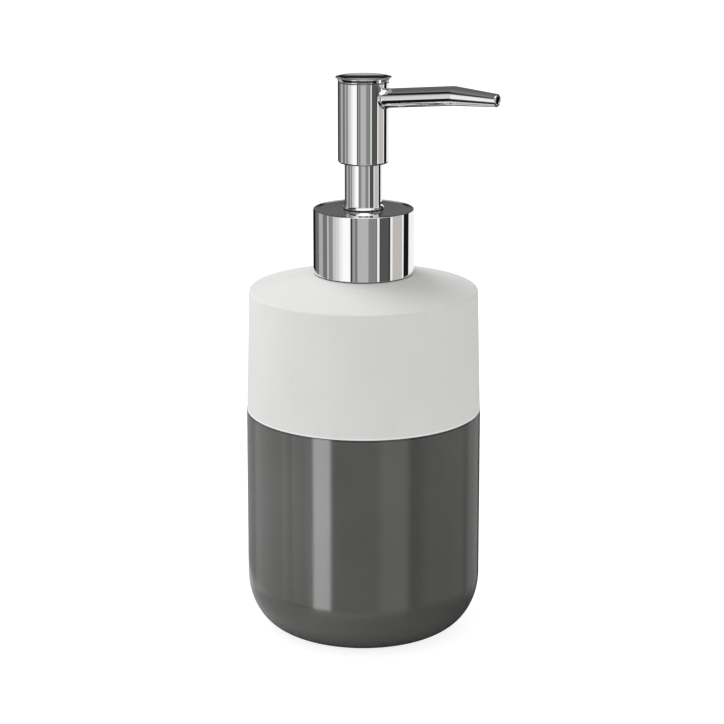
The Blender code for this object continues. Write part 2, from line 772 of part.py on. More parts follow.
def make_nozzle():
    """The spout: it rises to a bend and then runs on almost level, tapering to its tip. Its bore goes right
    through, and a spigot at its root sits in the head's core."""
    bend = nozzle_root + nozzle_way * NOZZLE_RUN
    tip = bend + nozzle_fall_way * NOZZLE_END
    start = nozzle_root + nozzle_way * spigot_start
    before, beyond = nozzle_way * OVERRUN, nozzle_fall_way * OVERRUN

    def path(first, last):
        flat = rounded([(first.x, first.z), (bend.x, bend.z, NOZZLE_BEND), (last.x, last.z)])
        return [(x, 0, z) for x, z in flat]

    outer_path = path(start, tip)
    radii = [NOZZLE_RADIUS] * (len(outer_path) - 1) + [NOZZLE_TIP_RADIUS]
    nozzle = bar_along("nozzle", outer_path, radii, NOZZLE_SIDES)
    bore_path = path(start - before, tip + beyond)
    bore = bar_along("bore_cut", bore_path, [NOZZLE_BORE_RADIUS] * len(bore_path), NOZZLE_SIDES)
    hollow = cylinder(
        "barrel_room_cut", barrel_bore, (0, 0, nozzle_root.z - NOZZLE_RADIUS - OVERRUN),
        (0, 0, barrel_top), PUMP_STEPS,
    )
    spigot = cylinder("spigot", spigot_radius, start, nozzle_root + nozzle_way * barrel_radius, SMALL_STEPS)
    combine(nozzle, "DIFFERENCE", hollow)
    combine(nozzle, "UNION", spigot)
    return combine(nozzle, "DIFFERENCE", bore)


def make_dispenser():
    settle(make_bottle_body(), "bare_ceramic", "bottle")
    settle(make_glaze_dip(), "grey_glaze", "bottle")
    settle(make_neck_insert(), "white_plastic", "bottle")
    settle(make_neck_gasket(), "seal_rubber", "seal")
    settle(make_screw_cap(), "white_plastic", "collar")
    settle(make_collar_shell(), "chrome", "collar")
    settle(make_guide_sleeve(), "chrome", "pump")
    settle(make_lock_bush(), "white_plastic", "pump")
    settle(make_pump_housing(), "milky_plastic", "pump")
    settle(make_ball_cage(), "white_plastic", "pump")
    settle(make_dip_tube(), "milky_plastic", "pump")
    settle(make_return_spring(), "spring_steel", "pump")
    settle(make_check_ball(), "ball_steel", "ball")
    settle(make_piston_rod(), "white_plastic", "stem")
    settle(make_piston_seat(), "white_plastic", "stem")
    settle(make_piston(), "milky_plastic", "piston")
    settle(make_head_barrel(), "chrome", "head")
    settle(make_head_core(), "white_plastic", "head")
    settle(make_head_cap(), "chrome", "head")
    settle(make_nozzle(), "chrome", "head")


clear_scene()
parts = new_collection("soap_dispenser")
cutters = new_collection("cutters")
finishes = {name: make_finish(name) for name in FINISHES}
carriers = {}
for carrier_name in CARRIERS:
    carriers[carrier_name] = make_carrier(carrier_name)
make_dispenser()
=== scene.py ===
# %% [markdown]
# # A ceramic soap dispenser with a chromed pump
#
# The imported model is a plain frame with 20 separate pieces and real joints. This lesson dresses it:
# what shows gets a finer shape, and each piece gets a procedural finish. Everything is in metres, in
# the frame of the model. The origin is the middle of the bottle's base, +Z is up and the nozzle points
# along +X.
#
# The frame is loaded first, and the boxes of its pieces give the sizes that the finer shapes follow.
# Nothing that is added may make the dispenser bigger.

# %% Load the frame
import math

import bmesh
import bpy
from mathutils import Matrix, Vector


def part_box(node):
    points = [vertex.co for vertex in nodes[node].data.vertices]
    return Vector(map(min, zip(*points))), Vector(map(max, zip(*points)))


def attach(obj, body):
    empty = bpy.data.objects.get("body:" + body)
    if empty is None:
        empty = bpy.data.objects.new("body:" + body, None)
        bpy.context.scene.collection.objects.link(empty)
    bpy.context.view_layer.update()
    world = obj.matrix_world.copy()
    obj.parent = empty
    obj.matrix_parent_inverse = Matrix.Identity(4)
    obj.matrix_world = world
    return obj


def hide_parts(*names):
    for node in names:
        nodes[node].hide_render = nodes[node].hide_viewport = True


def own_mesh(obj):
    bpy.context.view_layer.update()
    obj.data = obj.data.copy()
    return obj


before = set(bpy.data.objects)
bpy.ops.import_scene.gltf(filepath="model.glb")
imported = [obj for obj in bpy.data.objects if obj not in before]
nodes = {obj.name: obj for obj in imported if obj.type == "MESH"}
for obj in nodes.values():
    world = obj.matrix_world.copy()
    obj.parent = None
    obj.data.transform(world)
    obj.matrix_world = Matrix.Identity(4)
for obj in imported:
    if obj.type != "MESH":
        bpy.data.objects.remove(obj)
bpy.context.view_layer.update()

MM = 0.001
scene = bpy.context.scene

# %% [markdown]
# ## The camera
#
# The picture looks slightly down on the dispenser from far away, through a long lens. The place and the
# lens could be guessed by eye, but they follow better from the ellipses: the collar, the shoulder and
# the edge of the glaze are level circles, so how flat each one looks gives the camera's height above
# it. The view comes from 32 degrees round from the nozzle's side, which is why the nozzle looks shorter
# than it is.

# %% Place the camera
VIEW_AZIMUTH = math.radians(32)
VIEW_PITCH = 0.267  # radians that the camera looks down
CAMERA_DISTANCE = 0.66154  # from the pump's axis, level
CAMERA_SIDE = -0.00048
CAMERA_HEIGHT = 0.2659
LENS = 109.39  # mm, as is the sensor
SENSOR_WIDTH = 36

to_camera = Vector((math.sin(VIEW_AZIMUTH), -math.cos(VIEW_AZIMUTH), 0))
to_right = Vector((math.cos(VIEW_AZIMUTH), math.sin(VIEW_AZIMUTH), 0))
camera_data = bpy.data.cameras.new("camera")
camera_data.lens = LENS
camera_data.sensor_width = SENSOR_WIDTH
camera = bpy.data.objects.new("camera", camera_data)
camera.location = to_camera * CAMERA_DISTANCE + to_right * CAMERA_SIDE + Vector((0, 0, CAMERA_HEIGHT))
camera.rotation_euler = (math.pi / 2 - VIEW_PITCH, 0, VIEW_AZIMUTH)
scene.collection.objects.link(camera)
scene.camera = camera
print("The camera stands at", [round(value, 4) for value in camera.location])

# %% [markdown]
# ## Helpers for node trees
#
# World, groups and materials are all node trees, so one helper adds a node to any of them. A value in
# its table is put on the input of that name, and a socket in its table is linked to it. Another makes a
# node group with named inputs and outputs, so that an effect is built once and placed in several
# finishes with other values. The last two mix shaders and colours, which the world, the floor and the
# ceramic all do.

# %% Define the node helpers
WHITE = (1, 1, 1, 1)


def add_node(tree, kind, inputs=None, **settings):
    """Adds a shader node. Its inputs take values, or sockets to link."""
    node = tree.nodes.new("ShaderNode" + kind)
    for name, value in settings.items():
        setattr(node, name, value)
    for name, value in (inputs or {}).items():
        if isinstance(value, bpy.types.NodeSocket):
            tree.links.new(value, node.inputs[name])
        else:
            node.inputs[name].default_value = value
    return node


def new_group(name, inputs, outputs):
    """A shader node group. Each input is (name, kind, value) and each output is (name, kind)."""
    group = bpy.data.node_groups.new(name, "ShaderNodeTree")
    for label, kind, value in inputs:
        socket = group.interface.new_socket(label, in_out="INPUT", socket_type="NodeSocket" + kind)
        if value is not None:
            socket.default_value = value
    for label, kind in outputs:
        group.interface.new_socket(label, in_out="OUTPUT", socket_type="NodeSocket" + kind)
    return group, group.nodes.new("NodeGroupInput").outputs, group.nodes.new("NodeGroupOutput").inputs


def use_group(tree, group, inputs=None):
    """Places a node group and sets or links its inputs."""
    return add_node(tree, "Group", inputs, node_tree=group)


def mix_shaders(tree, factor, first, second):
    """A node that gives the first shader where factor is 0 and the second where it is 1."""
    return add_node(tree, "MixShader", {0: factor, 1: first.outputs[0], 2: second.outputs[0]})


def mix_colours(tree, factor, first, second):
    """A socket that gives the first colour where factor is 0 and the second where it is 1."""
    return add_node(tree, "Mix", {0: factor, 6: first, 7: second}, data_type="RGBA").outputs[2]


# %% [markdown]
# ## The studio, as polished metal sees it
#
# Chrome has hardly any colour of its own: its stripes are the studio. Real cards could be stood round
# the dispenser, but then every card needs a place and a size. As the studio is far away compared with
# the pump, only the direction matters, so the world is painted by direction instead. One group paints
# one card: a patch between two compass angles and two heights, with soft edges. Angles are measured in
# degrees from the camera, and negative ones lie to the picture's left.

# %% Build the card group
card_group, card_in, card_out = new_group(
    "studio_card",
    [
        ("Direction", "Vector", None), ("Angle", "Float", 0), ("Width", "Float", 10), ("Edge", "Float", 2),
        ("Foot", "Float", -20), ("Foot Edge", "Float", 2), ("Head", "Float", 40), ("Head Edge", "Float", 3),
        ("Light", "Color", WHITE),
    ],
    [("Light", "Color")],
)


def maths(tree, operation, *values):
    return add_node(tree, "Math", dict(enumerate(values)), operation=operation).outputs[0]


def ramp(tree, value, start, end):
    """A smooth step from 0 at start to 1 at end."""
    inputs = {"Value": value, "From Min": start, "From Max": end}
    return add_node(tree, "MapRange", inputs, interpolation_type="SMOOTHSTEP").outputs[0]


def build_card_group():
    tree = card_group
    along = add_node(tree, "SeparateXYZ", {0: card_in["Direction"]}).outputs
    turn = maths(tree, "DEGREES", maths(tree, "ARCTAN2", along["Y"], along["X"]))
    lift = maths(tree, "DEGREES", maths(tree, "ARCSINE", along["Z"]))
    offset = maths(tree, "WRAP", maths(tree, "SUBTRACT", turn, card_in["Angle"]), 180, -180)
    half = maths(tree, "MULTIPLY", card_in["Width"], 0.5)
    half_edge = maths(tree, "MULTIPLY", card_in["Edge"], 0.5)
    outer = maths(tree, "ADD", half, half_edge)
    inner = maths(tree, "SUBTRACT", half, half_edge)
    across = ramp(tree, maths(tree, "ABSOLUTE", offset), outer, inner)
    above = ramp(tree, lift, card_in["Foot"], maths(tree, "ADD", card_in["Foot"], card_in["Foot Edge"]))
    below = ramp(tree, lift, card_in["Head"], maths(tree, "SUBTRACT", card_in["Head"], card_in["Head Edge"]))
    mask = maths(tree, "MULTIPLY", across, maths(tree, "MULTIPLY", above, below))
    lit = add_node(tree, "VectorMath", {0: card_in["Light"], "Scale": mask}, operation="SCALE").outputs[0]
    tree.links.new(lit, card_out["Light"])


build_card_group()
print("The card group has", len(card_group.nodes), "nodes.")

# %% [markdown]
# ## The cards
#
# Read from the collar, the widest piece of chrome: a big softbox to the left that grows brighter
# towards its right edge, a thin black gap beside it, a grey wall behind the camera that darkens to the
# right, two narrow strips of light, a warm grey screen, a black flag and a white sheet far right and
# behind. A thin strip lies over the horizon behind, where the top of the cap looks. Over the camera
# hangs a wide light, which gives the collar its bright rim. Each card is lit on its own, and where
# cards lie over each other their light adds up.
#
# The camera looks down, so a straight wall mirrors what lies below the horizon: the pump sees about 9
# to 13 degrees down, and the glaze 16 to 20. That is why two sets of cards meet at 14 degrees down. The
# lower set is the table with the softbox shining on it.

# %% List the cards
GREY = (1, 1, 1)  # the tints, by which a card's light is multiplied
OLIVE = (0.99, 1, 0.96)
WARM = (1.0, 0.945, 0.90)
BESIDE = (-14.8, 1.3)  # where a card beside the pump ends below, and how softly
SOFT_TOP = (30, 17)  # where the softbox ends above, and how softly
UPPER_CARDS = [
    # name, from, to, edge, foot and its edge, head (with its edge, where that matters), light, tint
    ("far left grey", -144, -124, 2, BESIDE, 30, 0.15, OLIVE),
    ("far left strip", -124, -107, 3, BESIDE, 30, 0.44, GREY),
    ("left grey", -107, -92, 2, BESIDE, 30, 0.175, GREY),
    ("left thin strip", -92, -87, 2, BESIDE, 30, 0.56, GREY),
    ("left dim wall", -87, -73, 3, (-23, 3), 30, 0.27, GREY),
    ("softbox", -74, -30, 3, (-23, 3), SOFT_TOP, 0.60, GREY),
    ("softbox, second step", -66, -30, 5, BESIDE, SOFT_TOP, 0.12, GREY),
    ("softbox, third step", -57, -30, 5, BESIDE, SOFT_TOP, 0.22, GREY),
    ("softbox, brightest", -49, -30, 5, BESIDE, SOFT_TOP, 0.14, GREY),
    ("wall beside the gap", -25.6, -19, 2, BESIDE, 30, 0.34, GREY),
    ("wall shadow", -19, -14, 2, BESIDE, 30, 0.18, GREY),
    ("wall behind the camera", -14, 11, 4, BESIDE, 32, 0.50, OLIVE),
    ("wall darkening", 11, 30, 4, BESIDE, 32, 0.25, OLIVE),
    ("right thin strip", 31, 36.5, 1.5, BESIDE, 34, 0.95, GREY),
    ("dark doorway", 38, 60, 3, BESIDE, 30, 0.085, GREY),
    ("screen edge", 63.5, 69.5, 2, BESIDE, 34, 0.42, GREY),
    ("warm screen", 63.5, 99, 2, BESIDE, 34, 0.56, WARM),
    ("screen strip", 99, 104, 1.5, BESIDE, 34, 1.0, GREY),
    ("white sheet", 125.5, 172, 3, BESIDE, 5.5, 0.97, GREY),
    ("horizon behind", 172, 196, 3, (-6, 2), 7.4, 0.75, GREY),
    ("strip over the horizon", 172, 188, 3, (8.1, 1.0), (10.2, 0.8), 0.50, GREY),
    ("light over the camera", -54, 74, 12, (34, 3), 88, 1.3, GREY),
    ("ceiling behind", -50, 256, 2, (10.2, 1.2), (14.2, 1.0), 0.125, GREY),
    ("ceiling", -50, 256, 2, (20, 2), 100, 0.125, GREY),
    ("ceiling over the softbox", -104, -50, 2, (41, 3), 100, 0.19, GREY),
]
LEFT_TABLE = (-26, 7)  # feet of the cards on the table, and how softly they end
RIGHT_TABLE = (-30, 11)
AHEAD = (-42, 18)
TABLE_HEAD = -13.4
LOWER_CARDS = [
    ("table, far left", -176, -58, 26, LEFT_TABLE, TABLE_HEAD, 0.36, GREY),
    ("table, left", -134, -80, 12, LEFT_TABLE, TABLE_HEAD, 0.40, GREY),
    ("softbox on the table", -50.5, -32.5, 4, (-29, 9), TABLE_HEAD, 3.8, GREY),
    ("table, ahead", -58, 45, 6, AHEAD, TABLE_HEAD, 0.36, GREY),
    ("table, ahead right", 16, 44, 12, RIGHT_TABLE, TABLE_HEAD, 0.42, GREY),
    ("table, right", 60, 118, 14, RIGHT_TABLE, TABLE_HEAD, 0.28, WARM),
    ("sheet on the table", 124, 158, 14, RIGHT_TABLE, TABLE_HEAD, 0.36, GREY),
]
LOW_HEAD = 16  # a card that ends lower than this ends sharply above, if the list gives no edge for its head
SHARP_HEAD, SOFT_HEAD = 1.3, 3
VOID = 0.010  # the light where there is no card
print(len(UPPER_CARDS), "cards beside and above,", len(LOWER_CARDS), "on the table")

# %% [markdown]
# ## The world
#
# The world has three jobs, told apart by Light Path. A camera ray that misses everything sees plain
# white. A glossy ray sees the cards. Any other ray, such as those that light the matt ceramic, gets an
# even white, which renders with far less grain than light that has to be found in narrow cards.

# %% Build the world
AMBIENT = 0.65  # the even light on whatever isn't polished


def build_world():
    world = bpy.data.worlds.new("studio")
    scene.world = world
    world.use_nodes = True
    tree = world.node_tree
    tree.nodes.clear()
    seen = add_node(tree, "TexCoord").outputs["Generated"]
    facing = add_node(tree, "VectorRotate", {"Vector": seen, "Angle": math.pi / 2 - VIEW_AZIMUTH},
                      rotation_type="Z_AXIS").outputs[0]
    total = add_node(tree, "CombineXYZ", {"X": VOID, "Y": VOID, "Z": VOID}).outputs[0]
    for name, first, last, edge, (foot, foot_edge), head, light, tint in UPPER_CARDS + LOWER_CARDS:
        if not isinstance(head, tuple):
            head = (head, SHARP_HEAD if head < LOW_HEAD else SOFT_HEAD)
        card = use_group(tree, card_group, {
            "Direction": facing, "Angle": (first + last) / 2, "Width": last - first, "Edge": edge,
            "Foot": foot, "Foot Edge": foot_edge, "Head": head[0], "Head Edge": head[1],
            "Light": (*(light * part for part in tint), 1),
        })
        card.label = name
        total = add_node(tree, "VectorMath", {0: total, 1: card.outputs["Light"]}, operation="ADD").outputs[0]
    path = add_node(tree, "LightPath").outputs
    even = add_node(tree, "Background", {"Color": WHITE, "Strength": AMBIENT})
    cards = add_node(tree, "Background", {"Color": total, "Strength": 1})
    white = add_node(tree, "Background", {"Color": WHITE, "Strength": 1})
    polished = mix_shaders(tree, path["Is Glossy Ray"], even, cards)
    final = mix_shaders(tree, path["Is Camera Ray"], polished, white)
    add_node(tree, "OutputWorld", {"Surface": final.outputs[0]})


build_world()
print("The world is built.")

# %% [markdown]
# ## Lamps and floor
#
# A large lamp behind and to the left drops the soft shadow of the collar on the shoulder. One low on
# the left gives the matt wall its slow change from left to right, and a weak one fills from the right.
# None shows in the chrome, because the cards already stand for what it mirrors. The floor is white to
# the camera, partly by its own glow, so that only the contact shadow under the foot remains. Polished
# pieces look through it to the world, but a ring of it round the foot has a faint glow for them,
# because the curve of the foot mirrors the table right under it.

# %% Set the lamps and the floor
scene.view_settings.view_transform = "Standard"
AIM = Vector((0, 0, 0.1))  # just under the bottle's shoulder


def add_lamp(name, angle, lift, distance, size, power):
    """An area lamp aimed at the bottle. Its angle is measured as the cards' angles are."""
    turn = VIEW_AZIMUTH - math.pi / 2 + math.radians(angle)
    rise = math.radians(lift)
    away = Vector((math.cos(turn) * math.cos(rise), math.sin(turn) * math.cos(rise), math.sin(rise)))
    data = bpy.data.lights.new(name, "AREA")
    data.size = size
    data.energy = power
    lamp = bpy.data.objects.new(name, data)
    lamp.location = AIM + away * distance
    lamp.rotation_euler = away.to_track_quat("Z", "Y").to_euler()
    lamp.visible_glossy = False
    scene.collection.objects.link(lamp)


add_lamp("key_lamp", angle=-126, lift=56, distance=1.1, size=0.7, power=6.0)
add_lamp("side_lamp", angle=-84, lift=14, distance=1.3, size=0.8, power=2.0)
add_lamp("fill_lamp", angle=35, lift=4, distance=1.3, size=0.8, power=1.2)

FLOOR_SIZE = 6
FLOOR_COLOUR = (0.97, 0.97, 0.97, 1)
SHOWN_COLOUR = (0.4, 0.4, 0.4, 1)  # what the camera sees, lifted to white by the glow
SHOWN_GLOW = 0.84
RING_NEAR = (0.026, 0.040)  # where the ring round the foot begins, from the axis
RING_FAR = (0.075, 0.060)  # where it ends
RING_SIDE = (0.045, -0.035)  # it fades towards the right of the picture
RING_GLOW = 0.50


def make_floor_finish():
    material = bpy.data.materials.new("floor_white")
    material.use_nodes = True
    tree = material.node_tree
    tree.nodes.clear()
    matt = add_node(tree, "BsdfDiffuse", {"Color": FLOOR_COLOUR})
    dim = add_node(tree, "BsdfDiffuse", {"Color": SHOWN_COLOUR})
    glow = add_node(tree, "Emission", {"Color": WHITE, "Strength": SHOWN_GLOW})
    shown = add_node(tree, "AddShader", {0: dim.outputs[0], 1: glow.outputs[0]})
    place = add_node(tree, "TexCoord").outputs["Object"]
    away = add_node(tree, "VectorMath", {0: place}, operation="LENGTH").outputs["Value"]
    across = add_node(tree, "VectorMath", {0: place, 1: to_right}, operation="DOT_PRODUCT").outputs["Value"]
    ring = maths(tree, "MULTIPLY", ramp(tree, away, *RING_NEAR), ramp(tree, away, *RING_FAR))
    ring = maths(tree, "MULTIPLY", ring, ramp(tree, across, *RING_SIDE))
    ring_glow = add_node(tree, "Emission", {"Strength": maths(tree, "MULTIPLY", ring, RING_GLOW)})
    clear = add_node(tree, "BsdfTransparent")
    mirrored = add_node(tree, "AddShader", {0: clear.outputs[0], 1: ring_glow.outputs[0]})
    path = add_node(tree, "LightPath").outputs
    other = mix_shaders(tree, path["Is Glossy Ray"], matt, mirrored)
    final = mix_shaders(tree, path["Is Camera Ray"], other, shown)
    add_node(tree, "OutputMaterial", {"Surface": final.outputs[0]})
    return material


def build_floor():
    mesh = bpy.data.meshes.new("floor")
    work = bmesh.new()
    bmesh.ops.create_grid(work, x_segments=1, y_segments=1, size=FLOOR_SIZE)
    work.to_mesh(mesh)
    work.free()
    floor = bpy.data.objects.new("floor", mesh)
    scene.collection.objects.link(floor)
    mesh.materials.append(make_floor_finish())


build_floor()
print("Lamps and floor are set.")

# %% [markdown]
# ## Effects that several finishes share
#
# Three effects come back in most finishes, so each is a group. Grain is the fine unevenness of a fired
# or moulded surface, as a height, with a mask of sparse specks. Drift mixes two close colours in slow
# clouds, because no real surface has one flat colour. Handling varies the roughness, as thin films and
# wiped smudges do on anything polished. All of them read object coordinates, which are metres here, so
# their scales are counts per metre.

# %% Build the shared groups
COARSE_SCALE = 0.18  # the coarse grain's scale, as a share of the fine one's
SPECKS = (0.64, 0.74)  # the noise levels between which each mask rises from 0 to 1
CLOUDS = (0.36, 0.64)
FILMS = (0.45, 0.75)
grain_group, grain_in, grain_out = new_group(
    "grain",
    [("Scale", "Float", 4000), ("Coarse Share", "Float", 0.3)],
    [("Height", "Float"), ("Specks", "Float")],
)
drift_group, drift_in, drift_out = new_group(
    "drift",
    [("Scale", "Float", 30), ("Colour A", "Color", WHITE), ("Colour B", "Color", (0.9, 0.9, 0.9, 1))],
    [("Colour", "Color")],
)
handling_group, handling_in, handling_out = new_group(
    "handling",
    [("Scale", "Float", 60), ("Clean", "Float", 0.05), ("Smudged", "Float", 0.12)],
    [("Roughness", "Float")],
)


def noise(tree, scale, detail, roughness=0.5):
    place = add_node(tree, "TexCoord").outputs["Object"]
    inputs = {"Vector": place, "Scale": scale, "Detail": detail, "Roughness": roughness}
    return add_node(tree, "TexNoise", inputs).outputs["Fac"]


def mix_values(tree, factor, first, second):
    return add_node(tree, "Mix", {"Factor": factor, "A": first, "B": second}).outputs["Result"]


def build_grain():
    tree = grain_group
    fine = noise(tree, grain_in["Scale"], detail=3)
    coarse = noise(tree, maths(tree, "MULTIPLY", grain_in["Scale"], COARSE_SCALE), detail=1)
    tree.links.new(mix_values(tree, grain_in["Coarse Share"], fine, coarse), grain_out["Height"])
    tree.links.new(ramp(tree, coarse, *SPECKS), grain_out["Specks"])


def build_drift():
    tree = drift_group
    clouds = ramp(tree, noise(tree, drift_in["Scale"], detail=3), *CLOUDS)
    tree.links.new(mix_colours(tree, clouds, drift_in["Colour A"], drift_in["Colour B"]), drift_out["Colour"])


def build_handling():
    tree = handling_group
    films = ramp(tree, noise(tree, handling_in["Scale"], detail=5, roughness=0.6), *FILMS)
    roughness = mix_values(tree, films, handling_in["Clean"], handling_in["Smudged"])
    tree.links.new(roughness, handling_out["Roughness"])


build_grain()
build_drift()
build_handling()
print("Groups:", grain_group.name, drift_group.name, handling_group.name)

# %% [markdown]
# ## Starting a finish
#
# Every finish is one Principled shader with its varying inputs linked and its plain ones typed in. One
# helper starts it and another gives it a relief, and the group calls that follow read like a recipe.

# %% Define the finish helpers
def new_finish(name, settings):
    """A material with one Principled shader, and its plain settings in place."""
    material = bpy.data.materials.new(name)
    material.use_nodes = True
    tree = material.node_tree
    shader = tree.nodes["Principled BSDF"]
    for label, value in settings.items():
        shader.inputs[label].default_value = value
    print("Finish:", name)
    return material, tree, shader


def bump(tree, shader, height, distance, strength=1.0):
    """Feeds a height, in metres at full strength, to the shader's normal."""
    inputs = {"Height": height, "Distance": distance, "Strength": strength}
    tree.links.new(add_node(tree, "Bump", inputs).outputs[0], shader.inputs["Normal"])


# %% [markdown]
# ## Bare ceramic
#
# The upper half is bare, fired ceramic. It is matt and chalky, with a fine tooth that catches light
# evenly, and it is a shade warmer in some places than in others. A high roughness alone would look like
# plastic, so a very fine grain breaks up the surface as well. Right above the glaze runs a thin lighter
# line, which is a painted highlight along the border and not the ceramic's own colour.

# %% Make the bare ceramic
GLAZE_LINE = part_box("glaze_dip")[1].z
# A painted highlight line, from one height to another, just above the glaze.
PAINTED_HIGHLIGHT_LINE = (GLAZE_LINE - 0.1 * MM, GLAZE_LINE + 0.45 * MM)  # from one height to another
FADE_OUTSIDE = 0.15 * MM  # how far the ends of a line fade on either side
FADE_INSIDE = 0.05 * MM
SPECK_SHARE = 0.10
SPECK_COLOUR = (0.62, 0.61, 0.59, 1)
PAINTED_HIGHLIGHT_COLOUR = (0.95, 0.95, 0.94, 1)


def height_band(tree, low, high):
    """A mask that is 1 between two heights and falls off softly outside them."""
    height = add_node(tree, "SeparateXYZ", {0: add_node(tree, "TexCoord").outputs["Object"]}).outputs["Z"]
    rise = ramp(tree, height, low - FADE_OUTSIDE, low + FADE_INSIDE)
    return maths(tree, "MULTIPLY", rise, ramp(tree, height, high + FADE_OUTSIDE, high - FADE_INSIDE))


def make_bare_ceramic():
    material, tree, shader = new_finish("bare_ceramic", {"Roughness": 0.62, "Specular IOR Level": 0.35})
    drift = use_group(tree, drift_group, {
        "Scale": 26.0, "Colour A": (0.785, 0.785, 0.776, 1), "Colour B": (0.755, 0.755, 0.744, 1),
    })
    grain = use_group(tree, grain_group, {"Scale": 3200.0, "Coarse Share": 0.35})
    specks = maths(tree, "MULTIPLY", grain.outputs["Specks"], SPECK_SHARE)
    colour = mix_colours(tree, specks, drift.outputs["Colour"], SPECK_COLOUR)
    # The painted highlight: a lighter line just above the glaze.
    colour = mix_colours(tree, height_band(tree, *PAINTED_HIGHLIGHT_LINE), colour, PAINTED_HIGHLIGHT_COLOUR)
    tree.links.new(colour, shader.inputs["Base Color"])
    bump(tree, shader, grain.outputs["Height"], distance=0.03 * MM, strength=0.6)
    return material


bare_ceramic = make_bare_ceramic()

# %% [markdown]
# ## Grey glaze
#
# The lower half was dipped in a dark grey glaze, which fired to glass. It mirrors the softbox as a soft
# band, so it is smooth but not optically flat: slow ripples of a few hundredths of a millimetre bend
# what it mirrors. The colour drifts slightly, as a glaze does where it lies thicker. Along its edge runs
# a thin dark line, which is painted shade and not the glaze's own colour.

# %% Make the grey glaze
# A painted shade line, from one height to another, along the glaze's edge.
PAINTED_SHADE_LINE = (GLAZE_LINE - 0.55 * MM, GLAZE_LINE + 0.1 * MM)
PAINTED_SHADE_COLOUR = (0.045, 0.047, 0.044, 1)


def make_grey_glaze():
    material, tree, shader = new_finish("grey_glaze", {"IOR": 1.6})
    drift = use_group(tree, drift_group, {
        "Scale": 40.0, "Colour A": (0.084, 0.087, 0.081, 1), "Colour B": (0.092, 0.095, 0.089, 1),
    })
    # The painted shade: a darker line along the edge.
    colour = mix_colours(tree, height_band(tree, *PAINTED_SHADE_LINE), drift.outputs["Colour"], PAINTED_SHADE_COLOUR)
    tree.links.new(colour, shader.inputs["Base Color"])
    handling = use_group(tree, handling_group, {"Scale": 45.0, "Clean": 0.09, "Smudged": 0.13})
    tree.links.new(handling.outputs["Roughness"], shader.inputs["Roughness"])
    bump(tree, shader, noise(tree, scale=90.0, detail=1), distance=0.05 * MM, strength=0.5)
    return material


grey_glaze = make_grey_glaze()

# %% [markdown]
# ## Chrome
#
# The pump is chromed all over. Chrome is a mirror with a slightly dark, cool tone, so it is metallic,
# very smooth and close to white. What keeps it from looking like a rendering is that it is handled:
# faint films make some patches a little less sharp.

# %% Make the chrome
def make_chrome():
    material, tree, shader = new_finish("chrome", {"Base Color": (0.88, 0.88, 0.885, 1), "Metallic": 1.0})
    handling = use_group(tree, handling_group, {"Scale": 160.0, "Clean": 0.02, "Smudged": 0.055})
    tree.links.new(handling.outputs["Roughness"], shader.inputs["Roughness"])
    bump(tree, shader, noise(tree, scale=260.0, detail=1), distance=0.002 * MM, strength=0.25)
    return material


chrome = make_chrome()

# %% [markdown]
# ## Plastics, rubber and steel inside the pump
#
# The parts inside are seen when the pump is lifted out: a white moulded neck and bush, a milky cylinder
# and tube, a black seal, a spring and a steel ball. Moulded plastic has a faint cloudiness and a satin
# grain, rubber is matt, and the steels are duller than the chrome. One function makes all of them, each
# with its own values.

# %% Make the inner finishes
INNER_FINISHES = {
    # colour A, colour B, clean and smudged roughness, metallic, grain height in mm
    "white_plastic": ((0.80, 0.80, 0.78), (0.76, 0.76, 0.74), 0.36, 0.50, 0, 0.010),
    "milky_plastic": ((0.66, 0.69, 0.70), (0.60, 0.63, 0.65), 0.28, 0.40, 0, 0.006),
    # This black is also used for the rings under collar, sleeve and barrel and in the cap's seam, which are
    # painted shade; only the gasket is real rubber.
    "seal_rubber": ((0.030, 0.030, 0.031), (0.042, 0.042, 0.043), 0.62, 0.78, 0, 0.020),
    "spring_steel": ((0.60, 0.60, 0.61), (0.52, 0.52, 0.53), 0.20, 0.32, 1, 0.004),
    "ball_steel": ((0.74, 0.74, 0.75), (0.70, 0.70, 0.71), 0.08, 0.16, 1, 0.001),
}


def make_inner_finish(name, colour, other, clean, smudged, metallic, grain_height):
    material, tree, shader = new_finish(name, {"Metallic": float(metallic)})
    drift = use_group(tree, drift_group, {"Scale": 120.0, "Colour A": (*colour, 1), "Colour B": (*other, 1)})
    tree.links.new(drift.outputs["Colour"], shader.inputs["Base Color"])
    handling = use_group(tree, handling_group, {"Scale": 200.0, "Clean": clean, "Smudged": smudged})
    tree.links.new(handling.outputs["Roughness"], shader.inputs["Roughness"])
    grain = use_group(tree, grain_group, {"Scale": 5000.0, "Coarse Share": 0.4})
    bump(tree, shader, grain.outputs["Height"], grain_height * MM)
    return material


finishes = {"bare_ceramic": bare_ceramic, "grey_glaze": grey_glaze, "chrome": chrome}
for finish_name, values in INNER_FINISHES.items():
    finishes[finish_name] = make_inner_finish(finish_name, *values)
print("Finishes:", ", ".join(finishes))

# %% [markdown]
# ## Turning a piece
#
# Bottle, collar, sleeve, barrel and cap are all round, so each is half a section turned round the Z
# axis. A Screw modifier would do that too, but bmesh's spin gives the finished mesh at once, ready to
# mark its hard edges. The section's corners can each have their own arc, because it is the small radii
# that catch the light.

# %% Define the turning helpers
TURN_STEPS = 192
ARC_STEPS = 8
HARD_ANGLE = math.radians(35)
SAME_PLACE = 1e-7  # metres within which two vertices are one
HAIR = 0.01  # mm, how closely neighbours meet


